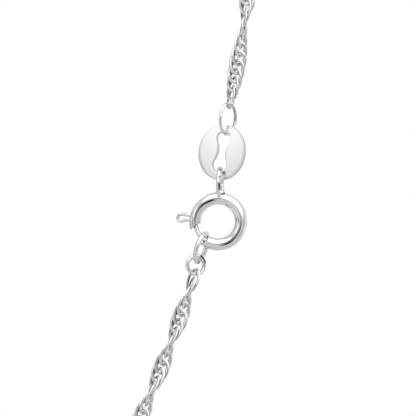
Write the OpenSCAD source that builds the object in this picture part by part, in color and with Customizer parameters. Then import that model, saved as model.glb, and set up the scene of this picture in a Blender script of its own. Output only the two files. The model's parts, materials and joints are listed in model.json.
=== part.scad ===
// Twisted link necklace, closed at its spring ring and hanging as it is worn.
// Millimetres. +Z is up and the loop hangs in the XZ plane, its front towards -Y.
// The origin is the point under the top of the loop where it hangs.

/* [Loop] */
// Radius of the loop over the back of the neck, to the middle of the chain
neck_r = 61; // [45:1:75]
// Radius of the two long sides of the loop
side_r = 150; // [130:1:200]
// Radius of the loop at its lowest point
bottom_r = 39; // [25:1:55]
// Slope of the chain's upper end from the vertical, in degrees
upper_slope = 11.5; // [9:0.5:14]
// Slope of the chain's lower end from the vertical, in degrees
lower_slope = 17.8; // [16:0.2:22]

/* [Chain] */
// Width of the chain over its twisted links
chain_w = 1.66; // [1.5:0.02:1.9]
// Width of the links' flattened wire
link_wire = 0.3; // [0.24:0.01:0.32]
// Thickness of the links' flattened wire
link_thick = 0.2; // [0.16:0.01:0.22]
// Distance from one link to the next
link_pitch = 0.83; // [0.8:0.01:1]
// Clearance between links that pass through each other
link_gap = 0.1; // [0.08:0.01:0.16]
// Turn from one link to the next along most of the chain, in degrees
link_turn = 29.5; // [26:0.5:34]
// Turn from one link to the next beside the tag, where the chain is slacker, in degrees
slack_turn = 19; // [16:1:26]
// Length of the slacker stretch
slack_l = 8; // [5:0.5:12]
// Angle at which the wires of neighbouring links cross, in degrees
link_cross = 30; // [28:1:40]
// Angle between the first link and the loop's plane, in degrees
first_link_turn = 47; // [30:1:80]
// Angle between the last link and the loop's plane, in degrees
last_link_turn = 70; // [50:1:90]
// Links modelled one by one at the tag's end
upper_count = 16; // [8:1:20]
// Links modelled one by one at the spring ring's end
lower_count = 24; // [12:1:28]

/* [Rings] */
// Clearance where one fitting hangs in another
hang_gap = 0.08; // [0.06:0.01:0.1]
// Clearance where one fitting crosses another at a slant
slant_gap = 0.13; // [0.12:0.01:0.16]
// Outer diameter of the jump ring between chain and tag
upper_ring_od = 3.24; // [3:0.02:3.6]
// Wire of that jump ring
upper_ring_wire = 0.3; // [0.24:0.01:0.36]
// Lean of that jump ring to the right, in degrees
upper_ring_lean = 5.1; // [-5:0.1:10]
// Turn of that jump ring away from the front, in degrees
upper_ring_turn = 61; // [45:1:68]
// Outer diameter of the jump ring that the spring ring holds
lower_ring_od = 3.22; // [3:0.02:3.5]
// Wire of that jump ring
lower_ring_wire = 0.45; // [0.36:0.01:0.48]
// Lean of that jump ring to the right, in degrees
lower_ring_lean = 18; // [8:0.5:24]
// Turn of that jump ring away from the front, in degrees
lower_ring_turn = 72; // [66:1:82]
// Place of that jump ring on the spring ring's gate, in degrees from its right side
lower_ring_at = 226; // [222:1:230]
// Outer diameter of the small ring that ends the chain
end_ring_od = 2.12; // [1.9:0.02:2.3]
// Wire of the small ring
end_ring_wire = 0.38; // [0.3:0.01:0.4]
// Lean of the small ring to the right, in degrees
end_ring_lean = 6; // [-5:1:10]
// Turn of the small ring away from the front, in degrees
end_ring_turn = 24; // [10:1:28]

/* [Tag] */
// Width of the oval tag
tag_w = 4.68; // [3.8:0.02:5.5]
// Height of the oval tag
tag_h = 5.28; // [4.6:0.05:6.5]
// Thickness of the tag
tag_t = 0.45; // [0.3:0.01:0.5]
// Lean of the tag to the right, in degrees
tag_lean = 9.4; // [0:0.2:15]
// Turn of the tag towards its right side, in degrees
tag_turn = 21; // [0:1:28]
// Metal above the slot
top_rim = 0.62; // [0.5:0.01:0.8]
// Metal below the slot
bottom_rim = 0.75; // [0.6:0.01:0.9]
// Width of the slot at its ends
slot_end_w = 1.42; // [1.2:0.01:1.6]
// Width of the slot at its waist
slot_waist_w = 0.78; // [0.5:0.01:0.95]
// Side of the slot's upper end that the jump ring pulls at, in degrees to the right of up
slot_pull = 25; // [0:1:40]

/* [Spring ring] */
// Outer diameter of the spring ring
clasp_od = 5.5; // [5.2:0.1:6.5]
// Diameter of its tube
tube_d = 1.15; // [1.1:0.01:1.25]
// Wall of its tube
tube_wall = 0.2; // [0.12:0.01:0.24]
// Lean of the spring ring to the right, in degrees
clasp_lean = 5.4; // [0:0.2:8]
// Width of the gap that the gate closes, between its parallel ends
mouth_w = 1.67; // [1.5:0.01:1.75]
// Place of that gap, in degrees from the right side
mouth_at = 219.4; // [217:0.2:222]
// Outer diameter of the soldered eyelet
eyelet_od = 3.15; // [2.8:0.05:3.4]
// Wire of the eyelet
eyelet_wire = 0.41; // [0.28:0.01:0.45]
// Depth that the eyelet sits in the tube
eyelet_sink = 0.69; // [0.45:0.01:0.7]
// Turn of the eyelet away from the front, in degrees
eyelet_turn = 84; // [76:1:90]
// Lean of the eyelet to the right, in degrees
eyelet_lean = 0; // [-4:0.5:8]

/* [Trigger] */
// Thickness of the gate that slides inside the tube
gate_wire = 0.43; // [0.34:0.01:0.46]
// Angle over which the gate's tip stays inside the tube, in degrees
gate_hold = 5; // [3:0.5:7]
// Length of the gate's tail behind the thumb loop, in degrees
gate_tail = 26; // [15:1:28]
// Place of the thumb loop, in degrees from the right side
stem_at = 176; // [174:0.5:178]
// Clearance of the thumb loop's two ends in their slot
stem_gap = 0.1; // [0.06:0.01:0.14]
// Angle through which the trigger slides open, in degrees
trigger_travel = 50; // [40:1:52]
// Length of the thumb loop outside the tube
thumb_l = 1.25; // [1.1:0.05:1.7]
// Width of the thumb loop
thumb_w = 0.96; // [0.85:0.01:1]
// Thickness of the thumb loop's wire
thumb_wire = 0.3; // [0.24:0.01:0.32]
// Lean of the thumb loop away from the eyelet, in degrees
thumb_lean = 10; // [0:1:12]

/* [Hidden] */
$fn = 48;

// Facets of a link and of the plain run of chain
link_sides = 12;
wire_sides = 6;
run_sides = 8;
run_rings = 80;
// Gap between the plain run of chain and the links modelled one by one
run_gap = 0.2;

// A direction that leans so many degrees to the right of straight up, as [x, z]
function up(lean) = [sin(lean), cos(lean)];

// Wire centre lines of the rings
upper_ring_r = (upper_ring_od - upper_ring_wire) / 2;
lower_ring_r = (lower_ring_od - lower_ring_wire) / 2;
end_ring_r = (end_ring_od - end_ring_wire) / 2;
eyelet_r = (eyelet_od - eyelet_wire) / 2;
clasp_r = (clasp_od - tube_d) / 2;
bore_d = tube_d - 2 * tube_wall;

// Thumb loop: its bend's radius and distance from the gate, and its legs that start side by side
bend_r = (thumb_w - thumb_wire) / 2;
bend_l = clasp_od / 2 + thumb_l - thumb_w / 2 - clasp_r;
beside = 0.4 * thumb_wire;
leg_angle = asin(bend_r / norm([bend_l, beside])) - atan2(beside, bend_l);
leg_l = sqrt(bend_l * bend_l + beside * beside - bend_r * bend_r);
// Sideways place of a leg where it leaves the tube
function leg_side(way) = way * beside + tube_d / 2 * tan(thumb_lean + way * leg_angle);

// Neck arc and upper end of the chain, where the last link holds the upper jump ring
neck_at = [0, chain_w / 2 - neck_r];
right_at = neck_at + [neck_r - side_r, 0];
left_at = neck_at + [side_r - neck_r, 0];
chain_end = right_at + side_r * [cos(upper_slope), -sin(upper_slope)];

// Each fitting hangs in the one above it, one clearance away from its wire
upper_ring_at = chain_end + up(0) * (link_wire / 2 + upper_ring_wire / 2 + slant_gap)
    - up(upper_ring_lean) * upper_ring_r;
slot_end_r = slot_end_w / 2;
slot_top = upper_ring_at - up(upper_ring_lean) * upper_ring_r
    - up(slot_pull) * (slot_end_r - upper_ring_wire / 2 - hang_gap);
tag_at = slot_top - up(tag_lean) * (tag_h / 2 - top_rim - slot_end_r);
slot_bottom = tag_at - up(tag_lean) * (tag_h / 2 - bottom_rim - slot_end_r);
eyelet_at = slot_bottom - up(0) * (slot_end_r - eyelet_wire / 2 - slant_gap)
    - up(eyelet_lean) * eyelet_r;
clasp_at = eyelet_at - up(eyelet_lean) * eyelet_od / 2 - up(clasp_lean) * (clasp_od / 2 - eyelet_sink);
mouth_half = asin(mouth_w / 2 / clasp_r);
lower_ring_top = clasp_at + (clasp_r - gate_wire / 2 - lower_ring_wire / 2 - hang_gap)
    * [cos(lower_ring_at), sin(lower_ring_at)];
lower_ring_mid = lower_ring_top - up(lower_ring_lean) * lower_ring_r;
end_ring_top = lower_ring_mid - up(lower_ring_lean) * lower_ring_r
    + up(0) * (lower_ring_wire / 2 + end_ring_wire / 2 + slant_gap);
end_ring_at = end_ring_top - up(end_ring_lean) * end_ring_r;
chain_start = end_ring_at - up(end_ring_lean) * end_ring_r
    + up(lower_slope) * (end_ring_wire / 2 + link_wire / 2 + hang_gap);

// The rest of the loop: side arc, bottom arc, side arc, neck arc, side arc, all tangent
low_right_at = chain_start - side_r * [cos(lower_slope), -sin(lower_slope)];
between = left_at - low_right_at;
bottom_drop = sqrt(pow(side_r - bottom_r, 2) - pow(norm(between) / 2, 2));
bottom_at = (left_at + low_right_at) / 2 + [between[1], -between[0]] / norm(between) * bottom_drop;
bottom_from = atan2(bottom_at[1] - low_right_at[1], bottom_at[0] - low_right_at[0]);
bottom_to = atan2(bottom_at[1] - left_at[1], bottom_at[0] - left_at[0]);

// Columns: centre, radius, angle at its start, angle at its end
ARCS = [
    [low_right_at, side_r, -lower_slope, bottom_from],
    [bottom_at, bottom_r, bottom_from, bottom_to],
    [left_at, side_r, bottom_to, -180],
    [neck_at, neck_r, -180, -360],
    [right_at, side_r, -360, -360 - upper_slope]];
function arc_l(i) = (ARCS[i][2] - ARCS[i][3]) * PI / 180 * ARCS[i][1];
chain_l = arc_l(0) + arc_l(1) + arc_l(2) + arc_l(3) + arc_l(4);

// Angle round the arc's centre, and arc, of the point so far along the chain: [angle, arc]
function along(s, i = 0) = s <= arc_l(i) || i == len(ARCS) - 1
    ? [ARCS[i][2] - s / ARCS[i][1] * 180 / PI, i]
    : along(s - arc_l(i), i + 1);
function route_point(f) = ARCS[f[1]][0] + ARCS[f[1]][1] * [cos(f[0]), sin(f[0])];

// Links: half length of the wire's centre line, number in the chain and exact pitch
link_l = (2 * link_pitch + link_wire + link_gap) / 2;
link_w = (chain_w - link_wire) / 2;
link_total = round((chain_l - 2 * link_l) / link_pitch) + 1;
pitch = (chain_l - 2 * link_l) / (link_total - 1);

// Turn of each link: steady, then slacker beside the tag, ending at the last link's own turn
slack_from = chain_l - 2 * link_l - slack_l;
slack_rate = slack_turn / pitch;
plain_turns = slack_from * link_turn / pitch + first_link_turn + slack_rate * slack_l;
half_turns = round((plain_turns - last_link_turn) / 180);
turn_rate = (last_link_turn + 180 * half_turns - first_link_turn - slack_rate * slack_l)
    / slack_from;
function link_angle(s) = first_link_turn + turn_rate * min(s, slack_from)
    + slack_rate * max(0, s - slack_from);
function link_warp(s) = ((s < slack_from ? turn_rate : slack_rate) - link_cross / pitch);

// An oval ring of points about a centre, with two half axes
function oval_points(centre, a, b, sides) =
    [for (j = [0 : sides - 1]) centre + a * cos(360 * j / sides) + b * sin(360 * j / sides)];
function unit(v) = v / norm(v);

// One oval link about its own middle, its plane warped along its length
function warped(x, z, warp) = [x * cos(warp * z), x * sin(warp * z), z];
function link_wire_point(t, warp) = warped(link_w * cos(t), link_l * sin(t), warp);
function link_ring(t, warp) =
    let(ahead = unit(link_wire_point(t + 1, warp) - link_wire_point(t - 1, warp)),
        z = link_l * sin(t),
        across = unit(cross(ahead, [-sin(warp * z), cos(warp * z), 0])))
    oval_points(link_wire_point(t, warp), across * link_wire / 2,
        cross(ahead, across) * link_thick / 2, wire_sides);

// Faces between neighbouring rings of points, closed round or open with caps
function band(rings, sides, closed) = [
    for (i = [0 : closed ? rings - 1 : rings - 2], j = [0 : sides - 1])
        [i * sides + j, (i + 1) % rings * sides + j,
         (i + 1) % rings * sides + (j + 1) % sides, i * sides + (j + 1) % sides]];
function caps(rings, sides) = [
    [for (j = [0 : sides - 1]) j],
    [for (j = [sides - 1 : -1 : 0]) (rings - 1) * sides + j]];

// Link number k of the chain, counted from the end ring
module chain_link(k) {
    s = k * pitch;
    f = along(s + link_l);
    at = route_point(f);
    turn = link_angle(s);
    out = [cos(f[0]), 0, sin(f[0])];
    front = [0, -1, 0];
    wide = out * cos(turn) + front * sin(turn);
    thick = front * cos(turn) - out * sin(turn);
    ahead = [sin(f[0]), 0, -cos(f[0])];
    rings = [for (i = [0 : link_sides - 1]) link_ring(360 * i / link_sides, link_warp(s))];
    multmatrix([
        [wide[0], thick[0], ahead[0], at[0]],
        [wide[1], thick[1], ahead[1], 0],
        [wide[2], thick[2], ahead[2], at[1]]])
        polyhedron([for (r = rings) each r], band(link_sides, wire_sides, true));
}

// Sets a piece drawn in the XY plane upright at [x, z], leaning right and turned from the front
module hung(at, lean, turn) {
    translate([at[0], 0, at[1]])
        rotate([0, lean, 0])
            rotate([0, 0, turn])
                rotate([90, 0, 0])
                    children();
}

// A length of round wire bent to a circle
module bent_wire(r, wire, from = 0, sweep = 360) {
    rotate([0, 0, from])
        rotate_extrude(angle = sweep)
            translate([r, 0])
                circle(d = wire);
}

module upper_links() {
    color("gainsboro")
        for (k = [link_total - upper_count : link_total - 1])
            chain_link(k);
}

module upper_jump_ring() {
    color("silver")
        hung(upper_ring_at, upper_ring_lean, upper_ring_turn)
            bent_wire(upper_ring_r, upper_ring_wire);
}

// Slot with round ends and a waist, its two sides hollowed by large circles
module slot_outline() {
    waist = slot_waist_w / 2;
    end_at = (tag_h - top_rim - bottom_rim) / 2 - slot_end_r;
    side = (waist * waist + end_at * end_at - slot_end_r * slot_end_r)
        / (2 * (slot_end_r - waist));
    meet = side / (side + slot_end_r);
    for (way = [-1, 1])
        translate([0, way * end_at])
            circle(r = slot_end_r);
    difference() {
        square([2 * (waist + side) * (1 - meet), 2 * end_at * meet], center = true);
        for (way = [-1, 1])
            translate([way * (waist + side), 0])
                circle(r = side, $fn = 96);
    }
}

module tag() {
    color("whitesmoke")
        hung(tag_at, tag_lean, -tag_turn)
            translate([0, 0, -tag_t / 2])
                linear_extrude(tag_t)
                    difference() {
                        polygon([for (t = [0 : 7.5 : 352.5])
                            [tag_w / 2 * cos(t), tag_h / 2 * sin(t)]]);
                        translate([0, (bottom_rim - top_rim) / 2])
                            slot_outline();
                    }
}

// Slot in the tube's outer wall that the thumb loop's two legs slide in, side by side
module stem_slot() {
    slot_w = thumb_wire + 2 * stem_gap;
    room = thumb_wire / 2 / cos(thumb_lean + leg_angle) + stem_gap;
    before = trigger_travel + atan2(room - leg_side(-1), clasp_od / 2);
    after = atan2(room + leg_side(1), clasp_od / 2);
    rotate([0, 0, stem_at - before])
        rotate_extrude(angle = before + after)
            translate([clasp_r, -slot_w / 2])
                square([tube_d, slot_w]);
}

module clasp_ring() {
    color("silver") {
        hung(clasp_at, clasp_lean, 0)
            difference() {
                rotate_extrude()
                    translate([clasp_r, 0])
                        difference() {
                            circle(d = tube_d);
                            circle(d = bore_d);
                        }
                rotate([0, 0, mouth_at])
                    translate([0, -mouth_w / 2, -tube_d])
                        cube([clasp_od, mouth_w, 2 * tube_d]);
                stem_slot();
            }
        hung(eyelet_at, eyelet_lean, eyelet_turn)
            bent_wire(eyelet_r, eyelet_wire);
    }
}

// Thumb loop: a round end and two straight legs that start side by side on the gate
module thumb_loop() {
    translate([clasp_r, 0, 0])
        rotate([0, 0, thumb_lean]) {
            translate([bend_l, 0, 0])
                bent_wire(bend_r, thumb_wire, -90 - leg_angle, 180 + 2 * leg_angle);
            for (way = [-1, 1])
                translate([0, way * beside, 0])
                    rotate([0, 90, way * leg_angle])
                        cylinder(d = thumb_wire, h = leg_l);
        }
}

module clasp_trigger() {
    color("gray")
        hung(clasp_at, clasp_lean, 0) {
            bent_wire(clasp_r, gate_wire, stem_at - gate_tail,
                mouth_at + mouth_half + gate_hold - stem_at + gate_tail);
            rotate([0, 0, stem_at])
                thumb_loop();
        }
}

module lower_jump_ring() {
    color("silver")
        hung(lower_ring_mid, lower_ring_lean, lower_ring_turn)
            bent_wire(lower_ring_r, lower_ring_wire);
}

module end_ring() {
    color("silver")
        hung(end_ring_at, end_ring_lean, end_ring_turn)
            bent_wire(end_ring_r, end_ring_wire);
}

module lower_links() {
    color("gainsboro")
        for (k = [0 : lower_count - 1])
            chain_link(k);
}

// The rest of the chain, as the round tube that its twisted links fill
module chain_run() {
    from = (lower_count - 1) * pitch + 2 * link_l + link_wire / 2 + run_gap;
    to = (link_total - upper_count) * pitch - link_wire / 2 - run_gap;
    rings = [for (i = [0 : run_rings - 1])
        let(f = along(from + (to - from) * i / (run_rings - 1)), p = route_point(f))
        oval_points([p[0], 0, p[1]], [cos(f[0]), 0, sin(f[0])] * chain_w / 2,
            [0, -1, 0] * chain_w / 2, run_sides)];
    color("lightgray")
        polyhedron([for (r = rings) each r],
            concat(band(run_rings, run_sides, false), caps(run_rings, run_sides)));
}

upper_links();
upper_jump_ring();
tag();
clasp_ring();
clasp_trigger();
lower_jump_ring();
end_ring();
lower_links();
chain_run();
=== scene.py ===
import json
import math

import bmesh
import bpy
from mathutils import Matrix, Vector


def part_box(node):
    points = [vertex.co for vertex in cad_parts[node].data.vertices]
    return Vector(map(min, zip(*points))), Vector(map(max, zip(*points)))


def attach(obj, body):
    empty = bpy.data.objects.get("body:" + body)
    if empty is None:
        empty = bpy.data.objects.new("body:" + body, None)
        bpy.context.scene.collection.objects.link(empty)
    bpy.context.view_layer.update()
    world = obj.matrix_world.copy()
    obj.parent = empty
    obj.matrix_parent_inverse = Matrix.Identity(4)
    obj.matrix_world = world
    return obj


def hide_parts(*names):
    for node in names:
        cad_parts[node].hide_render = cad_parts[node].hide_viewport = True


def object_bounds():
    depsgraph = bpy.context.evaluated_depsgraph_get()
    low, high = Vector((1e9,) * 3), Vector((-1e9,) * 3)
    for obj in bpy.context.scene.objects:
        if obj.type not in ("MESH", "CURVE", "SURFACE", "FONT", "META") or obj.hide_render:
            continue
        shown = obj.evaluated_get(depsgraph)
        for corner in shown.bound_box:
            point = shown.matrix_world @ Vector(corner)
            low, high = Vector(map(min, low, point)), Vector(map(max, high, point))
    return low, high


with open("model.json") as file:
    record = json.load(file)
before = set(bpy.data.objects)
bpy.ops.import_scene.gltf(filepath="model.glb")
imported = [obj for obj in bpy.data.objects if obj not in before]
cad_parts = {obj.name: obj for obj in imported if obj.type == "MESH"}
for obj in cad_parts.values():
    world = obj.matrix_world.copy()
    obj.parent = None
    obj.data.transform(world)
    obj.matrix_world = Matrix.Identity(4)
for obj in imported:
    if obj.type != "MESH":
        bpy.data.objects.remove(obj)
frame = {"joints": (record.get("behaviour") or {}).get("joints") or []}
cad_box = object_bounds()

# The camera looks straight at the front of the fastening through a long lens, as the photograph
# does. Its lens is reckoned for a frame 416 pixels square, with the spring ring's middle at a known
# place in it.
MM = 0.001
PIXEL = 5.5 / 58 * MM
PHOTO_MIDDLE = 208
CLASP_PIXEL = (218.05, 221.35)
CAMERA_AWAY = 0.6
SENSOR = 36

clasp_at = Vector(frame["joints"][0]["pos_m"])
camera_data = bpy.data.cameras.new("photo_camera")
camera_data.sensor_width = SENSOR
camera_data.lens = SENSOR * CAMERA_AWAY / (2 * PHOTO_MIDDLE * PIXEL)
camera_data.clip_start = 0.05
camera_data.clip_end = 20
camera = bpy.data.objects.new("photo_camera", camera_data)
camera.location = clasp_at + Vector(((PHOTO_MIDDLE - CLASP_PIXEL[0]) * PIXEL, -CAMERA_AWAY,
                                     (CLASP_PIXEL[1] - PHOTO_MIDDLE) * PIXEL))
camera.rotation_euler = (math.pi / 2, 0, 0)
bpy.context.collection.objects.link(camera)
bpy.context.scene.camera = camera
bpy.context.scene.view_settings.view_transform = "Standard"

# The chain is flattened silver wire wound and cut into oval links, each passed through the two
# before it. It is then twisted and soldered, so that the links stand in a right-handed screw.
CHAIN_WIDTH = 1.66 * MM
LINK_WIRE = 0.34 * MM
LINK_THICK = 0.2 * MM
LINK_GAP = 0.1 * MM
LINK_PITCH = 0.83 * MM
LINK_TURN = math.radians(29.5)
SLACK_TURN = math.radians(19)
SLACK_LENGTH = 8 * MM
LINK_CROSS = math.radians(28)
FIRST_LINK_TURN = math.radians(47)
LAST_LINK_TURN = math.radians(70)
UPPER_COUNT = 16
LOWER_COUNT = 24
NECK_RADIUS = 61 * MM
SIDE_RADIUS = 150 * MM
BOTTOM_RADIUS = 39 * MM
UPPER_SLOPE = math.radians(11.5)
LOWER_SLOPE = math.radians(17.8)
END_RING_OUTER = 2.12 * MM
END_RING_WIRE = 0.38 * MM
END_RING_LEAN = math.radians(6)
HANG_GAP = 0.08 * MM
GRAIN_RUN = 0.06
TUCK_SPREAD = 1.8
TUCK_LEAST = 0.2
TUCK_EVEN = 0.4
TUCK_SIDE = 1.2
NEAR_LINK = (40, 14)
FAR_LINK = (14, 6)
RUN_PIECES = 3


def up(lean):
    """Direction in the loop's plane that leans so far to the right of straight up."""
    return Vector((math.sin(lean), 0, math.cos(lean)))


def ray(angle):
    """Direction in the loop's plane at an angle from +X towards +Z."""
    return Vector((math.cos(angle), 0, math.sin(angle)))


def middle(node):
    """Middle of a CAD node's box."""
    low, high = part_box(node)
    return (Vector(low) + Vector(high)) / 2


neck_at = Vector((0, 0, CHAIN_WIDTH / 2 - NECK_RADIUS))
right_at = neck_at + Vector((NECK_RADIUS - SIDE_RADIUS, 0, 0))
left_at = neck_at - Vector((NECK_RADIUS - SIDE_RADIUS, 0, 0))
chain_start = (middle("end_ring") - up(END_RING_LEAN) * (END_RING_OUTER - END_RING_WIRE) / 2
               + up(LOWER_SLOPE) * (END_RING_WIRE / 2 + LINK_WIRE / 2 + HANG_GAP))
low_right_at = chain_start - SIDE_RADIUS * ray(-LOWER_SLOPE)
between = left_at - low_right_at
bottom_at = ((left_at + low_right_at) / 2 + Vector((between.z, 0, -between.x)).normalized()
             * math.sqrt((SIDE_RADIUS - BOTTOM_RADIUS) ** 2 - (between.length / 2) ** 2))


def bearing(centre):
    """Angle at which the bottom arc's centre is seen from a side arc's centre."""
    return math.atan2(bottom_at.z - centre.z, bottom_at.x - centre.x)


# Columns: centre, radius, angle at its start, angle at its end
ARCS = [
    (low_right_at, SIDE_RADIUS, -LOWER_SLOPE, bearing(low_right_at)),
    (bottom_at, BOTTOM_RADIUS, bearing(low_right_at), bearing(left_at)),
    (left_at, SIDE_RADIUS, bearing(left_at), -math.pi),
    (neck_at, NECK_RADIUS, -math.pi, -2 * math.pi),
    (right_at, SIDE_RADIUS, -2 * math.pi, -2 * math.pi - UPPER_SLOPE)]
chain_length = sum(radius * (start - end) for centre, radius, start, end in ARCS)
link_half = (2 * LINK_PITCH + LINK_WIRE + LINK_GAP) / 2
link_wide = (CHAIN_WIDTH - LINK_WIRE) / 2
link_total = round((chain_length - 2 * link_half) / LINK_PITCH) + 1
pitch = (chain_length - 2 * link_half) / (link_total - 1)
slack_from = chain_length - 2 * link_half - SLACK_LENGTH
slack_rate = SLACK_TURN / pitch
plain_turns = slack_from * LINK_TURN / pitch + FIRST_LINK_TURN + slack_rate * SLACK_LENGTH
half_turns = round((plain_turns - LAST_LINK_TURN) / math.pi)
turn_rate = (LAST_LINK_TURN + math.pi * half_turns - FIRST_LINK_TURN
             - slack_rate * SLACK_LENGTH) / slack_from


def along(distance):
    """Point of the chain so far from the end ring, and the angle round its arc's centre."""
    for centre, radius, start, end in ARCS:
        length = radius * (start - end)
        if distance <= length:
            break
        distance -= length
    else:
        distance += length
    angle = start - distance / radius
    return centre + radius * ray(angle), angle


def link_place(number):
    """Matrix of one link, numbered from the end ring."""
    travelled = number * pitch
    at, angle = along(travelled + link_half)
    turn = (FIRST_LINK_TURN + turn_rate * min(travelled, slack_from)
            + slack_rate * max(0, travelled - slack_from))
    out, front = ray(angle), Vector((0, -1, 0))
    wide = out * math.cos(turn) + front * math.sin(turn)
    thick = front * math.cos(turn) - out * math.sin(turn)
    ahead = Vector((math.sin(angle), 0, -math.cos(angle)))
    return Matrix.LocRotScale(at, Matrix((wide, thick, ahead)).transposed(), None)


def wire_ring(radius, wire, around, across, sweep=2 * math.pi, thick=None):
    """Wire bent to a ring in the XZ plane, starting at +X, round or of another thickness.

    Its mask of painted shade rises to 1 on the side that faces the ring's middle. Its grain
    attribute is the place on the wire's section, so that drawing lines run along the wire.
    """
    bm = bmesh.new()
    made = bmesh.ops.create_circle(bm, segments=across, radius=wire / 2)
    bmesh.ops.scale(bm, verts=made["verts"], vec=(1, (thick or wire) / wire, 1))
    bmesh.ops.translate(bm, verts=made["verts"], vec=(radius, 0, 0))
    closed = sweep == 2 * math.pi
    bmesh.ops.spin(bm, geom=bm.edges[:], cent=(0, 0, 0), axis=(0, -1, 0), angle=sweep,
                   steps=around, use_merge=closed)
    if not closed:
        bmesh.ops.holes_fill(bm, edges=[e for e in bm.edges if e.is_boundary])
    bmesh.ops.recalc_face_normals(bm, faces=bm.faces)
    bm.verts.layers.float.new("painted_shade")
    bm.verts.layers.float_vector.new("grain")
    painted_shade, grain = bm.verts.layers.float["painted_shade"], bm.verts.layers.float_vector["grain"]
    for vert in bm.verts:
        outward = math.hypot(vert.co.x, vert.co.z) - radius
        vert[painted_shade] = max(0, -outward / (wire / 2))
        vert[grain] = Vector((outward, vert.co.y, 0)) + GRAIN_RUN * vert.co
    return bm


def link_mesh(warp, around, across):
    """One oval link about its own middle, its plane warped along its length.

    Its painted shade is deepest on the inner flank that lies under its neighbours, where their
    shadow falls.
    """
    bm = wire_ring(link_half, LINK_WIRE, around, across, thick=LINK_THICK)
    painted_shade = bm.verts.layers.float["painted_shade"]
    for vert in bm.verts:
        turn = math.atan2(vert.co.z, vert.co.x)
        under = -math.cos(turn) * vert.co.y / (LINK_THICK / 2)
        tucked = min(1, max(TUCK_LEAST, TUCK_EVEN + TUCK_SIDE * under))
        vert[painted_shade] = min(1, TUCK_SPREAD * vert[painted_shade]) * tucked
        outward = math.hypot(vert.co.x, vert.co.z) - link_half
        side = Vector((link_half * math.cos(turn), 0, link_wide * math.sin(turn))).normalized()
        oval = Vector((link_wide * math.cos(turn), 0, link_half * math.sin(turn))) + side * outward
        vert.co = Matrix.Rotation(warp * oval.z, 3, "Z") @ Vector((oval.x, vert.co.y, oval.z))
    mesh = bpy.data.meshes.new("link")
    bm.to_mesh(mesh)
    bm.free()
    return mesh


def finished(bm, name, material):
    """Turns a bmesh into a smooth-shaded piece of the object."""
    for face in bm.faces:
        face.smooth = True
    mesh = bpy.data.meshes.new(name)
    bm.to_mesh(mesh)
    bm.free()
    mesh.materials.append(material)
    piece = bpy.data.objects.new(name, mesh)
    bpy.context.collection.objects.link(piece)
    return piece


def links(name, numbers, around, across, material):
    """A stretch of the chain as one piece."""
    steady = link_mesh(turn_rate - LINK_CROSS / pitch, around, across)
    slack = link_mesh(slack_rate - LINK_CROSS / pitch, around, across)
    bm = bmesh.new()
    for number in numbers:
        placed = (steady if number * pitch < slack_from else slack).copy()
        placed.transform(link_place(number))
        bm.from_mesh(placed)
        bpy.data.meshes.remove(placed)
    return finished(bm, name, material)


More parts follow.
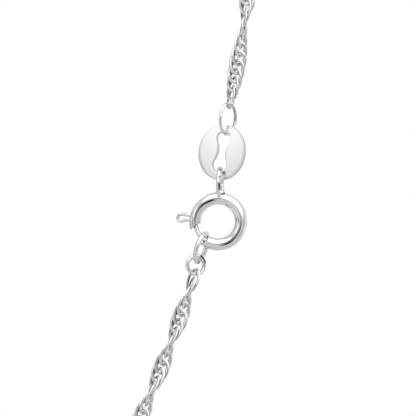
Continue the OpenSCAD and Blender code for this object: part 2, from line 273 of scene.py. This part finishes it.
def polish_group():
    """Buffed silver: uneven gloss, fine marks, and painted shade that darkens it where masked."""
    group = bpy.data.node_groups.new("buffed_silver", "ShaderNodeTree")
    for title, value in (("Marks", 9000.0), ("Cloud size", 900.0), ("Gloss", 0.07),
                         ("Unevenness", 0.06), ("Painted shade strength", 0.0), ("Painted shade mask", 0.0)):
        socket = group.interface.new_socket(title, in_out="INPUT", socket_type="NodeSocketFloat")
        socket.default_value = value
    group.interface.new_socket("Surface", in_out="INPUT", socket_type="NodeSocketVector")
    group.interface.new_socket("Tone", in_out="OUTPUT", socket_type="NodeSocketColor")
    group.interface.new_socket("Roughness", in_out="OUTPUT", socket_type="NodeSocketFloat")
    group.interface.new_socket("Relief", in_out="OUTPUT", socket_type="NodeSocketFloat")
    nodes, wire = group.nodes, group.links.new
    given, given_out = nodes.new("NodeGroupInput"), nodes.new("NodeGroupOutput")
    place = nodes.new("ShaderNodeTexCoord")
    cloud = nodes.new("ShaderNodeTexNoise")
    cloud.inputs["Detail"].default_value = 3
    wire(place.outputs["Object"], cloud.inputs["Vector"])
    wire(given.outputs["Cloud size"], cloud.inputs["Scale"])
    marks = nodes.new("ShaderNodeTexNoise")
    marks.inputs["Detail"].default_value = 5
    wire(given.outputs["Surface"], marks.inputs["Vector"])
    wire(given.outputs["Marks"], marks.inputs["Scale"])
    both = nodes.new("ShaderNodeMath")
    both.operation = "MULTIPLY"
    wire(cloud.outputs["Fac"], both.inputs[0])
    wire(marks.outputs["Fac"], both.inputs[1])
    rough = nodes.new("ShaderNodeMath")
    rough.operation = "MULTIPLY_ADD"
    wire(both.outputs["Value"], rough.inputs[0])
    wire(given.outputs["Unevenness"], rough.inputs[1])
    wire(given.outputs["Gloss"], rough.inputs[2])
    tone = nodes.new("ShaderNodeMix")
    tone.data_type = "RGBA"
    tone.inputs["A"].default_value = (0.97, 0.965, 0.955, 1)
    tone.inputs["B"].default_value = (0.88, 0.875, 0.865, 1)
    wire(cloud.outputs["Fac"], tone.inputs["Factor"])
    patchy = nodes.new("ShaderNodeMapRange")
    patchy.inputs["From Min"].default_value = 0.35
    patchy.inputs["From Max"].default_value = 0.6
    patchy.inputs["To Min"].default_value = 0.8
    wire(cloud.outputs["Fac"], patchy.inputs["Value"])
    share = nodes.new("ShaderNodeMath")
    share.operation = "MULTIPLY"
    wire(patchy.outputs["Result"], share.inputs[0])
    wire(given.outputs["Painted shade mask"], share.inputs[1])
    painted_shade_amount = nodes.new("ShaderNodeMath")
    painted_shade_amount.operation = "MULTIPLY"
    painted_shade_amount.use_clamp = True
    wire(share.outputs["Value"], painted_shade_amount.inputs[0])
    wire(given.outputs["Painted shade strength"], painted_shade_amount.inputs[1])
    # Painted shade: the colour falls towards near black by the mask times its strength.
    darker = nodes.new("ShaderNodeMix")
    darker.data_type = "RGBA"
    darker.inputs["B"].default_value = (0.03, 0.028, 0.024, 1)
    wire(tone.outputs["Result"], darker.inputs["A"])
    wire(painted_shade_amount.outputs["Value"], darker.inputs["Factor"])
    duller = nodes.new("ShaderNodeMath")
    duller.operation = "MULTIPLY_ADD"
    duller.inputs[1].default_value = 0.15
    wire(painted_shade_amount.outputs["Value"], duller.inputs[0])
    wire(rough.outputs["Value"], duller.inputs[2])
    wire(darker.outputs["Result"], given_out.inputs["Tone"])
    wire(duller.outputs["Value"], given_out.inputs["Roughness"])
    wire(marks.outputs["Fac"], given_out.inputs["Relief"])
    return group


POLISH = polish_group()


def silver(name, marks, clouds, gloss, unevenness, relief, painted_shade_strength, drawn=True):
    """A silver surface, polished by the given amounts and darkened so much by painted shade.

    Its marks run along a drawn wire or tube, or every way on another piece.
    """
    material = bpy.data.materials.new(name)
    material.use_nodes = True
    nodes, wire = material.node_tree.nodes, material.node_tree.links.new
    shader = nodes["Principled BSDF"]
    shader.inputs["Metallic"].default_value = 1
    polish = nodes.new("ShaderNodeGroup")
    polish.node_tree = POLISH
    for title, value in (("Marks", marks), ("Cloud size", clouds), ("Gloss", gloss),
                         ("Unevenness", unevenness), ("Painted shade strength", painted_shade_strength)):
        polish.inputs[title].default_value = value
    if drawn:
        grain = nodes.new("ShaderNodeAttribute")
        grain.attribute_name = "grain"
        wire(grain.outputs["Vector"], polish.inputs["Surface"])
    else:
        wire(nodes.new("ShaderNodeTexCoord").outputs["Object"], polish.inputs["Surface"])
    # The mesh's mask says where painted shade darkens the silver.
    painted_shade = nodes.new("ShaderNodeAttribute")
    painted_shade.attribute_name = "painted_shade"
    wire(painted_shade.outputs["Fac"], polish.inputs["Painted shade mask"])
    bump = nodes.new("ShaderNodeBump")
    bump.inputs["Strength"].default_value = relief
    bump.inputs["Distance"].default_value = 0.01 * MM
    wire(polish.outputs["Relief"], bump.inputs["Height"])
    wire(polish.outputs["Tone"], shader.inputs["Base Color"])
    wire(polish.outputs["Roughness"], shader.inputs["Roughness"])
    wire(bump.outputs["Normal"], shader.inputs["Normal"])
    return material


chain_silver = silver("drawn_silver_wire", 12000, 1200, 0.05, 0.08, 0.4, 1)
run_first, run_last = LOWER_COUNT, link_total - UPPER_COUNT
run_share = math.ceil((run_last - run_first) / RUN_PIECES)
for node, numbers in (("upper_links", range(run_last, link_total)),
                      ("lower_links", range(run_first))):
    piece = links(node + "_silver", numbers, *NEAR_LINK, chain_silver)
    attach(piece, "necklace")
    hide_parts(node)
for part in range(RUN_PIECES):
    first = run_first + part * run_share
    piece = links(f"chain_run_silver_{part + 1}", range(first, min(first + run_share, run_last)),
                  *FAR_LINK, chain_silver)
    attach(piece, "necklace")
    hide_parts("chain_run")

# The jump ring between chain and tag is a turn of round silver wire, cut and closed with pliers.
# Its butt joint stays as a hairline, and a dark reflection is painted beside it.
UPPER_RING_OUTER = 3.24 * MM
UPPER_RING_WIRE = 0.3 * MM
UPPER_RING_LEAN = math.radians(5.1)
UPPER_RING_TURN = math.radians(61)
JOINT_GAP = 0.02 * MM
PAINTED_DARK_CORE = 3
PAINTED_REFLECTION_INSIDE = 0.6
RING_AROUND, RING_ACROSS = 96, 24
ring_silver = silver("closed_ring_silver", 9000, 700, 0.04, 0.06, 0.5, 1.1)


def hung(at, lean, turn):
    """Matrix that places a piece made in the XZ plane, leaning right and turned from the front."""
    return Matrix.Translation(at) @ Matrix.Rotation(lean, 4, "Y") @ Matrix.Rotation(turn, 4, "Z")


def jump_ring(node, outer, wire, lean, turn, joint_at, reflection_reach, inside):
    """A cut and closed ring of wire where its CAD node is.

    It has a painted dark reflection so far on both sides of its joint, and painted shade so much
    inside.
    """
    radius = (outer - wire) / 2
    bm = wire_ring(radius, wire, RING_AROUND, RING_ACROSS, 2 * math.pi - JOINT_GAP / radius)
    painted_shade = bm.verts.layers.float["painted_shade"]
    # Painted reflection: a dark patch round the joint, towards the ring's outer side; painted shade
    # inside.
    for vert in bm.verts:
        near = max(0, 1 - abs(math.atan2(vert.co.z, vert.co.x)) / reflection_reach)
        outward = (math.hypot(vert.co.x, vert.co.z) - radius) / (wire / 2)
        painted_reflection = min(1, PAINTED_DARK_CORE * near) * min(1, PAINTED_REFLECTION_INSIDE + outward)
        vert[painted_shade] = max(inside * vert[painted_shade], painted_reflection)
    bmesh.ops.rotate(bm, verts=bm.verts, matrix=Matrix.Rotation(-joint_at, 3, "Y"))
    bm.transform(hung(middle(node), lean, turn))
    piece = finished(bm, node + "_silver", ring_silver)
    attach(piece, "necklace")
    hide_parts(node)


jump_ring("upper_jump_ring", UPPER_RING_OUTER, UPPER_RING_WIRE, UPPER_RING_LEAN, UPPER_RING_TURN,
          math.radians(-68), math.radians(16), 0.45)

# The tag is stamped out of silver sheet, with a waisted slot, and tumbled until its faces are
# slightly domed and its edges round. It hangs in the jump ring by the slot's upper end.
TAG_WIDTH = 4.68 * MM
TAG_HEIGHT = 5.28 * MM
TAG_THICK = 0.45 * MM
TAG_DOME = 0.04 * MM
TAG_LEAN = math.radians(9.4)
TAG_TURN = math.radians(-21)
TOP_RIM = 0.62 * MM
BOTTOM_RIM = 0.75 * MM
SLOT_END = 1.42 * MM / 2
SLOT_WAIST = 0.78 * MM / 2
TAG_EDGE = 0.1 * MM
TAG_POINTS = 96
TAG_CORNER = 1.2
BACK_RIM = 0.8
FRONT_RIM = (0.02, 0.12)
FRONT_RIM_SHADE = 0.6
tag_silver = silver("stamped_sheet_silver", 5000, 350, 0.2, 0.05, 0.1, 0.45, drawn=False)


def slot_edge(angle):
    """Distance from the slot's middle to its edge in that direction, from straight right."""
    half = (TAG_HEIGHT - TOP_RIM - BOTTOM_RIM) / 2
    end_at = half - SLOT_END
    side = (SLOT_WAIST ** 2 + end_at ** 2 - SLOT_END ** 2) / (2 * (SLOT_END - SLOT_WAIST))
    right, rise = abs(math.cos(angle)), abs(math.sin(angle))
    meet = side / (side + SLOT_END)
    if rise * (SLOT_WAIST + side) * (1 - meet) < right * end_at * meet:
        reach = right * (SLOT_WAIST + side)
        return reach - math.sqrt(reach ** 2 - (SLOT_WAIST + side) ** 2 + side ** 2)
    reach = rise * end_at
    return reach + math.sqrt(reach ** 2 - end_at ** 2 + SLOT_END ** 2)


def outline(bm, distance, middle_z):
    """Adds a closed ring of points in the XZ plane, each so far from a middle on the Z axis."""
    made = bmesh.ops.create_circle(bm, segments=TAG_POINTS, radius=1)
    for vert in made["verts"]:
        angle = math.atan2(vert.co.y, vert.co.x)
        vert.co = ray(angle) * distance(angle) + Vector((0, 0, middle_z))


def oval_edge(angle):
    """Distance from the tag's slot's middle to its oval outer edge."""
    rise = (BOTTOM_RIM - TOP_RIM) / 2
    a, b = TAG_WIDTH / 2, TAG_HEIGHT / 2
    c, s = math.cos(angle), math.sin(angle)
    p = (c / a) ** 2 + (s / b) ** 2
    q = rise * s / b ** 2
    return (-q + math.sqrt(q * q - p * ((rise / b) ** 2 - 1))) / p


bm = bmesh.new()
slot_middle = (BOTTOM_RIM - TOP_RIM) / 2
outline(bm, slot_edge, slot_middle)
outline(bm, oval_edge, slot_middle)
bmesh.ops.bridge_loops(bm, edges=bm.edges[:])
bmesh.ops.subdivide_edges(bm, edges=[e for e in bm.edges if not e.is_boundary], cuts=5)
bmesh.ops.recalc_face_normals(bm, faces=bm.faces)
made = bmesh.ops.extrude_face_region(bm, geom=bm.faces[:])
raised = [g for g in made["geom"] if isinstance(g, bmesh.types.BMVert)]
bmesh.ops.translate(bm, verts=raised, vec=(0, TAG_THICK, 0))
bmesh.ops.translate(bm, verts=bm.verts, vec=(0, -TAG_THICK / 2, 0))
bmesh.ops.recalc_face_normals(bm, faces=bm.faces)
painted_shade = bm.verts.layers.float.new("painted_shade")
sharp = [e for e in bm.edges if len(e.link_faces) == 2 and e.calc_face_angle() > TAG_CORNER]
rounded = bmesh.ops.bevel(bm, geom=sharp, offset=TAG_EDGE, offset_type="OFFSET", segments=4,
                          profile=0.5, affect="EDGES", material=-1, clamp_overlap=True)
# Painted shade on the back rim's rounding, and a band of painted grey reflection along the front
# rim.
for vert in rounded["verts"]:
    from_front = (vert.co.y + TAG_THICK / 2) / TAG_THICK
    if from_front > BACK_RIM:
        vert[painted_shade] = 1
    elif FRONT_RIM[0] < from_front < FRONT_RIM[1]:
        vert[painted_shade] = FRONT_RIM_SHADE
for vert in bm.verts:
    out = (vert.co.x / (TAG_WIDTH / 2)) ** 2 + (vert.co.z / (TAG_HEIGHT / 2)) ** 2
    vert.co.y *= 1 - TAG_DOME / (TAG_THICK / 2) * out
bm.transform(hung(middle("tag"), TAG_LEAN, TAG_TURN))
tag = finished(bm, "tag_silver", tag_silver)
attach(tag, "necklace")
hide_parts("tag")

# The spring ring's body is drawn silver tube bent round, with a gap for the gate and a slot in its
# outer wall for the thumb loop's ends. A small ring of wire is let into its top and soldered.
CLASP_OUTER = 5.5 * MM
TUBE = 1.15 * MM
TUBE_WALL = 0.2 * MM
CLASP_LEAN = math.radians(5.4)
MOUTH_WIDTH = 1.67 * MM
MOUTH_AT = math.radians(219.4)
STEM_AT = math.radians(176)
THUMB_WIRE = 0.3 * MM
THUMB_LENGTH = 1.25 * MM
THUMB_WIDTH = 0.96 * MM
THUMB_LEAN = math.radians(10)
BESIDE = 0.4 * THUMB_WIRE
STEM_GAP = 0.1 * MM
TRAVEL = math.radians(50)
EYELET_OUTER = 3.15 * MM
EYELET_WIRE = 0.41 * MM
EYELET_SINK = 0.69 * MM
EYELET_TURN = math.radians(82)
TUBE_EDGE = 0.025 * MM
EYELET_SHADE_SPOTS = [(192, 16), (157, 5), (126, 12)]
SOLDER = Vector((0.48, 0.56, 0.4)) * MM
SOLDER_RISE = 0.62 * MM
SEAM = 0.16 * MM
FLANK = 3
TUBE_AROUND, TUBE_ACROSS = 160, 48
TUBE_CORNER = 0.8
MOUTH_NEAR = math.radians(45)
SLOT_NEAR = 0.1
tube_silver = silver("drawn_tube_silver", 6000, 500, 0.04, 0.05, 0.7, 0.9)
tube_radius = (CLASP_OUTER - TUBE) / 2
clasp_place = hung(clasp_at, CLASP_LEAN, 0)
mouth_out, mouth_side = ray(MOUTH_AT), ray(MOUTH_AT + math.pi / 2)


def cut(bm, faces, point, normal):
    """Cuts some of the faces along a plane."""
    edges = (e for f in faces for e in f.edges)
    verts = (v for f in faces for v in f.verts)
    geom = list(dict.fromkeys([*faces, *edges, *verts]))
    bmesh.ops.bisect_plane(bm, geom=geom, dist=1e-9, plane_co=point, plane_no=normal)


def around_clasp(face):
    """Angle of a face round the spring ring, its distance from the middle and its depth."""
    spot = face.calc_center_median()
    return math.atan2(spot.z, spot.x) % (2 * math.pi), math.hypot(spot.x, spot.z), spot.y


def from_mouth(point):
    """Distance of a point from the line that runs out of the spring ring through its gap."""
    return abs(point.dot(mouth_side))


bm = bmesh.new()
# The bore's wall is fully masked for painted shade, the outer wall not at all.
for width, dark in ((TUBE, 0), (TUBE - 2 * TUBE_WALL, 1)):
    wall = wire_ring(tube_radius, width, TUBE_AROUND, TUBE_ACROSS)
    painted_shade = wall.verts.layers.float["painted_shade"]
    for vert in wall.verts:
        vert[painted_shade] = dark
    wall_mesh = bpy.data.meshes.new("tube_wall")
    wall.to_mesh(wall_mesh)
    wall.free()
    bm.from_mesh(wall_mesh)
    bpy.data.meshes.remove(wall_mesh)

for side in (-1, 1):
    near = [f for f in bm.faces if abs(around_clasp(f)[0] - MOUTH_AT) < MOUTH_NEAR]
    cut(bm, near, mouth_side * side * MOUTH_WIDTH / 2, mouth_side)
gone = [f for f in bm.faces if from_mouth(f.calc_center_median()) < MOUTH_WIDTH / 2
        and f.calc_center_median().dot(mouth_out) > 0]
bmesh.ops.delete(bm, geom=gone, context="FACES")
rims = [e for e in bm.edges if e.is_boundary]
for side in (-1, 1):
    rim = [e for e in rims if side * e.verts[0].co.dot(mouth_side) > 0]
    bmesh.ops.triangle_fill(bm, edges=rim, use_beauty=True, normal=mouth_side)

bend = (THUMB_WIDTH - THUMB_WIRE) / 2
bend_away = CLASP_OUTER / 2 + THUMB_LENGTH - THUMB_WIDTH / 2 - tube_radius
leg_angle = math.asin(bend / math.hypot(bend_away, BESIDE)) - math.atan2(BESIDE, bend_away)
leg = math.sqrt(bend_away ** 2 + BESIDE ** 2 - bend ** 2)
slot_half = THUMB_WIRE / 2 + STEM_GAP
room = THUMB_WIRE / 2 / math.cos(THUMB_LEAN + leg_angle) + STEM_GAP


def leg_side(way):
    """Sideways place of one of the thumb loop's legs where it leaves the tube."""
    return way * BESIDE + TUBE / 2 * math.tan(THUMB_LEAN + way * leg_angle)


slot_from = STEM_AT - TRAVEL - math.atan2(room - leg_side(-1), CLASP_OUTER / 2)
slot_to = STEM_AT + math.atan2(room + leg_side(1), CLASP_OUTER / 2)


def beside_slot(margin):
    """Outer faces of the tube from one end of the slot to the other, and so far beyond."""
    found = []
    for face in bm.faces:
        turn, reach, depth = around_clasp(face)
        if (slot_from - margin < turn < slot_to + margin and reach > tube_radius
                and abs(depth) < slot_half + margin * TUBE):
            found.append(face)
    return found


for end in (slot_from, slot_to):
    cut(bm, beside_slot(SLOT_NEAR), ray(end), ray(end + math.pi / 2))
for side in (-1, 1):
    cut(bm, beside_slot(SLOT_NEAR), (0, side * slot_half, 0), (0, 1, 0))
bmesh.ops.delete(bm, geom=beside_slot(0), context="FACES")
bmesh.ops.bridge_loops(bm, edges=[e for e in bm.edges if e.is_boundary])
bmesh.ops.recalc_face_normals(bm, faces=bm.faces)
sharp = [e for e in bm.edges if len(e.link_faces) == 2 and e.calc_face_angle() > TUBE_CORNER]
bmesh.ops.bevel(bm, geom=sharp, offset=TUBE_EDGE, offset_type="OFFSET", segments=2, profile=0.5,
                affect="EDGES", material=-1, clamp_overlap=True)
# Painted shade along the rims of the tube's cut ends at the gap.
painted_shade = bm.verts.layers.float["painted_shade"]
for vert in bm.verts:
    from_cut = abs(from_mouth(vert.co) - MOUTH_WIDTH / 2)
    if vert.co.dot(mouth_out) > 0 and from_cut < 2 * TUBE_EDGE:
        vert[painted_shade] = 1
bm.transform(clasp_place)

foot = clasp_at + up(CLASP_LEAN) * (CLASP_OUTER / 2 - EYELET_SINK)
eyelet = wire_ring((EYELET_OUTER - EYELET_WIRE) / 2, EYELET_WIRE, RING_AROUND, RING_ACROSS)
# Painted shade: dark spots at three places round the eyelet, on one flank of its wire.
painted_shade = eyelet.verts.layers.float["painted_shade"]
for vert in eyelet.verts:
    turn = math.degrees(math.atan2(vert.co.z, vert.co.x)) % 360
    near = max(0, *(1 - abs(turn - at) / reach for at, reach in EYELET_SHADE_SPOTS))
    flank = max(0, min(1, -FLANK * vert.co.y / (EYELET_WIRE / 2)))
    vert[painted_shade] = min(1, PAINTED_DARK_CORE * near) * flank
eyelet.transform(hung(foot + up(0) * EYELET_OUTER / 2, 0, EYELET_TURN))
eyelet_mesh = bpy.data.meshes.new("eyelet")
eyelet.to_mesh(eyelet_mesh)
eyelet.free()
bm.from_mesh(eyelet_mesh)
blob = bmesh.ops.create_icosphere(bm, subdivisions=5, radius=1)
bmesh.ops.scale(bm, verts=blob["verts"], vec=SOLDER)
bmesh.ops.translate(bm, verts=blob["verts"], vec=foot + up(0) * SOLDER_RISE)
painted_shade = bm.verts.layers.float["painted_shade"]
# Painted shade along the seam where the solder meets the tube, on its right side only.
for vert in blob["verts"]:
    x, y, z = vert.co - clasp_at
    height = math.hypot(math.hypot(x, z) - tube_radius, y) - TUBE / 2
    near = max(0, 1 - abs(height) / SEAM)
    vert[painted_shade] = min(1, PAINTED_DARK_CORE * near) if x > 0 else 0
clasp = finished(bm, "clasp_ring_silver", tube_silver)
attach(clasp, "necklace")
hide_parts("clasp_ring")

# The trigger is one bent wire: a gate that closes the spring ring's gap and slides inside its tube,
# and a thumb loop whose two ends pass side by side through the slot. A hidden coil spring shuts it.
GATE_WIRE = 0.43 * MM
GATE_HOLD = math.radians(5)
GATE_TAIL = math.radians(26)
# The gate and thumb loop keep the wire ring's painted shade on their inner sides.
trigger_silver = silver("trigger_wire_silver", 9000, 700, 0.06, 0.08, 0.5, 0.4)

gate_from = STEM_AT - GATE_TAIL
gate_to = MOUTH_AT + math.asin(MOUTH_WIDTH / 2 / tube_radius) + GATE_HOLD
bm = wire_ring(tube_radius, GATE_WIRE, 60, 20, gate_to - gate_from)
bmesh.ops.rotate(bm, verts=bm.verts, matrix=Matrix.Rotation(-gate_from, 3, "Y"))
loop = wire_ring(bend, THUMB_WIRE, 40, 16, math.pi + 2 * leg_angle)
bmesh.ops.rotate(loop, verts=loop.verts, matrix=Matrix.Rotation(math.pi / 2 + leg_angle, 3, "Y"))
bmesh.ops.translate(loop, verts=loop.verts, vec=(bend_away, 0, 0))
for way in (-1, 1):
    made = bmesh.ops.create_cone(loop, segments=16, radius1=THUMB_WIRE / 2, radius2=THUMB_WIRE / 2,
                                 depth=leg, cap_ends=True)
    bmesh.ops.translate(loop, verts=made["verts"], vec=(0, 0, leg / 2))
    bmesh.ops.rotate(loop, verts=made["verts"],
                     matrix=Matrix.Rotation(math.pi / 2 - way * leg_angle, 3, "Y"))
    bmesh.ops.translate(loop, verts=made["verts"], vec=(0, 0, way * BESIDE))
loop.transform(Matrix.Rotation(-STEM_AT, 4, "Y") @ Matrix.Translation((tube_radius, 0, 0))
               @ Matrix.Rotation(-THUMB_LEAN, 4, "Y"))
loop_mesh = bpy.data.meshes.new("thumb_loop")
loop.to_mesh(loop_mesh)
loop.free()
bm.from_mesh(loop_mesh)
bm.transform(clasp_place)
trigger = finished(bm, "clasp_trigger_silver", trigger_silver)
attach(trigger, "trigger")
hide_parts("clasp_trigger")

# The jump ring that the spring ring holds is thicker wire, closed in the same way.
LOWER_RING_OUTER = 3.22 * MM
LOWER_RING_WIRE = 0.45 * MM
LOWER_RING_LEAN = math.radians(18)
LOWER_RING_TURN = math.radians(72)
jump_ring("lower_jump_ring", LOWER_RING_OUTER, LOWER_RING_WIRE, LOWER_RING_LEAN, LOWER_RING_TURN,
          math.radians(-86), math.radians(10), 0.1)

# The end ring is a small ring of wire that joins the chain's first link to that jump ring.
# It lies nearly flat to the front.
END_RING_TURN = math.radians(24)
jump_ring("end_ring", END_RING_OUTER, END_RING_WIRE, END_RING_LEAN, END_RING_TURN,
          math.radians(46), math.radians(34), 0.3)

# A pale floor stands below the loop. The studio is a grey tent with a large soft window overhead
# and to the right. Pale and dark cloths hang round the camera, which the silver mirrors as lines.
FLOOR_DROP = 0.45
FLOOR_RADIUS = 0.6
FLOOR_TONE = 0.6
TENT_TONE = 0.6
BACK_TONE = 0.7
WINDOW_TONE = 1.35
LAMP_AWAY = 0.8

floor_mesh = bpy.data.meshes.new("studio_floor")
bm = bmesh.new()
bmesh.ops.create_circle(bm, cap_ends=True, segments=96, radius=FLOOR_RADIUS)
bmesh.ops.translate(bm, verts=bm.verts, vec=(0, 0, cad_box[0][2] - FLOOR_DROP))
bm.to_mesh(floor_mesh)
bm.free()
floor_paint = bpy.data.materials.new("studio_floor")
floor_paint.use_nodes = True
floor_shader = floor_paint.node_tree.nodes["Principled BSDF"]
floor_shader.inputs["Base Color"].default_value = (FLOOR_TONE, FLOOR_TONE, FLOOR_TONE, 1)
floor_shader.inputs["Roughness"].default_value = 0.9
floor_mesh.materials.append(floor_paint)
floor = bpy.data.objects.new("studio_floor", floor_mesh)
bpy.context.collection.objects.link(floor)

world = bpy.data.worlds.new("studio_tent")
bpy.context.scene.world = world
world.use_nodes = True
nodes, wire = world.node_tree.nodes, world.node_tree.links.new
place = nodes.new("ShaderNodeTexCoord")


def aim(bearing, off):
    """Direction so many degrees off the camera's, towards a bearing counted from the right side."""
    off = math.radians(off)
    return math.sin(off) * ray(math.radians(bearing)) - Vector((0, math.cos(off), 0))


def panel(tent, direction, inner, outer, tone):
    """The tent with a round panel of another tone, soft between two half angles in degrees."""
    gap = nodes.new("ShaderNodeVectorMath")
    gap.operation = "DISTANCE"
    wire(place.outputs["Generated"], gap.inputs[0])
    gap.inputs[1].default_value = direction
    fade = nodes.new("ShaderNodeMapRange")
    fade.interpolation_type = "SMOOTHSTEP"
    fade.inputs["From Min"].default_value = 2 * math.sin(math.radians(outer) / 2)
    fade.inputs["From Max"].default_value = 2 * math.sin(math.radians(inner) / 2)
    wire(gap.outputs["Value"], fade.inputs["Value"])
    mixed = nodes.new("ShaderNodeMix")
    mixed.data_type = "RGBA"
    wire(fade.outputs["Result"], mixed.inputs["Factor"])
    if isinstance(tent, float):
        mixed.inputs["A"].default_value = (tent, tent, tent, 1)
    else:
        wire(tent, mixed.inputs["A"])
    mixed.inputs["B"].default_value = (tone, tone, tone, 1)
    return mixed.outputs["Result"]


# Columns: bearing and angle off the camera, half angles where it is full and where it ends, tone
tent = TENT_TONE
for bearing_at, off, inner, outer, tone in (
        (0, 180, 40, 100, BACK_TONE),
        (0, 180, 12, 30, 0.33),
        (290, 75, 5, 35, 0.78),
        (80, 90, 50, 90, 0.66),
        (175, 114, 12, 36, 0.42),
        (150, 72, 3, 14, 0.95),
        (175, 72, 3, 14, 0.95),
        (202, 68, 3, 14, 0.95),
        (350, 114, 12, 34, 0.85),
        (330, 55, 3, 15, 0.4),
        (355, 58, 3, 15, 0.4),
        (70, 56, 40, 50, WINDOW_TONE),
        (178, 52, 6, 16, 0.32),
        (159, 44, 7, 14.5, 1.22),
        (215, 20, 5, 14, 0.75),
        (150, 9, 4, 11, 0.05),
        (318, 10, 5, 10, 0.02),
        (302, 20, 5, 10, 0.02),
        (292, 30, 5, 11, 0.02)):
    tent = panel(tent, aim(bearing_at, off), inner, outer, tone)
seen = nodes.new("ShaderNodeLightPath")
plain = nodes.new("ShaderNodeMix")
plain.data_type = "RGBA"
plain.inputs["B"].default_value = (1, 1, 1, 1)
wire(seen.outputs["Is Camera Ray"], plain.inputs["Factor"])
wire(tent, plain.inputs["A"])
wire(plain.outputs["Result"], nodes["Background"].inputs["Color"])

lamp_data = bpy.data.lights.new("soft_lamp", "AREA")
lamp_data.shape = "DISK"
lamp_data.size = 0.3
lamp_data.energy = 0.5
lamp = bpy.data.objects.new("soft_lamp", lamp_data)
lamp.location = clasp_at + LAMP_AWAY * aim(65, 60)
lamp.rotation_euler = (clasp_at - lamp.location).to_track_quat("-Z", "Y").to_euler()
bpy.context.collection.objects.link(lamp)
